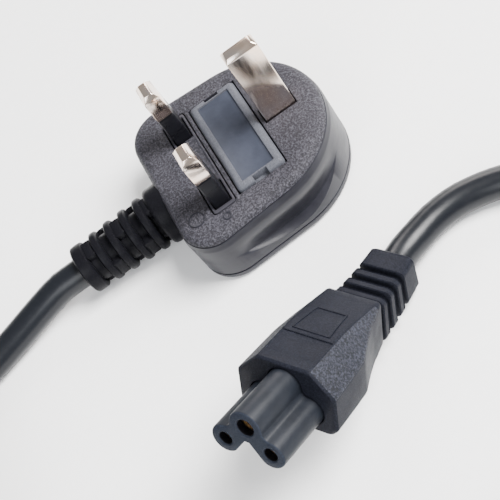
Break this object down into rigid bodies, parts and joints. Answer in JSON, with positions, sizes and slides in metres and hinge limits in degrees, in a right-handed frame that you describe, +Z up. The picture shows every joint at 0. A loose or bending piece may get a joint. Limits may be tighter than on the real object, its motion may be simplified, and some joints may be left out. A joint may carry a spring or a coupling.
{
  "type": "cloverleaf power cord",
  "caption": "Black moulded mains lead with a three pin fused plug at one end and a cloverleaf connector at the other, its spare length folded into a tied hank",
  "frame": {"origin": "on the surface the lead lies on, in the plug's flat back, straight below the point midway between the line and neutral pins", "axes": "+Z up from the surface the lead lies on, +Y towards the plug's earth pin side and away from the plug's cord"},
  "size_m": [0.1335, 0.2235, 0.0409],
  "materials": {
    "black grained moulding": "matte grained moulding",
    "black hard insert": "satin",
    "bright nickel": "polished plate",
    "black sleeve": "semi gloss",
    "grey fuse carrier": "satin",
    "white ceramic": "unglazed",
    "black fine grained moulding": "fine matte grain",
    "blue grey nose": "satin",
    "contact brass": "bright sheet metal",
    "black cord": "smooth semi gloss sheath",
    "grey tie": "woven strap"
  },
  "bodies": {
    "lead": {"plug_body": "black grained moulding", "pin_carrier": "black hard insert", "earth_pin": "bright nickel", "line_pin": "bright nickel", "neutral_pin": "bright nickel", "line_pin_sleeve": "black sleeve", "neutral_pin_sleeve": "black sleeve", "connector_body": "black fine grained moulding", "contact_carrier": "blue grey nose", "contact_earth": "contact brass", "contact_line": "contact brass", "contact_neutral": "contact brass", "cord_plug_side": "black cord", "cord_coil": "black cord", "cord_connector_side": "black cord", "coil_tie": "grey tie"},
    "fuse_drawer": {"fuse_carrier": "grey fuse carrier", "fuse_barrel": "white ceramic", "fuse_cap_left": "bright nickel", "fuse_cap_right": "bright nickel"}
  },
  "joints": [
    {"name": "fuse_drawer_slide", "type": "slide", "parent": "lead", "child": "fuse_drawer", "axis": [0, -0.0523, 0.9986], "range_m": [0, 0.034]}
  ]
}
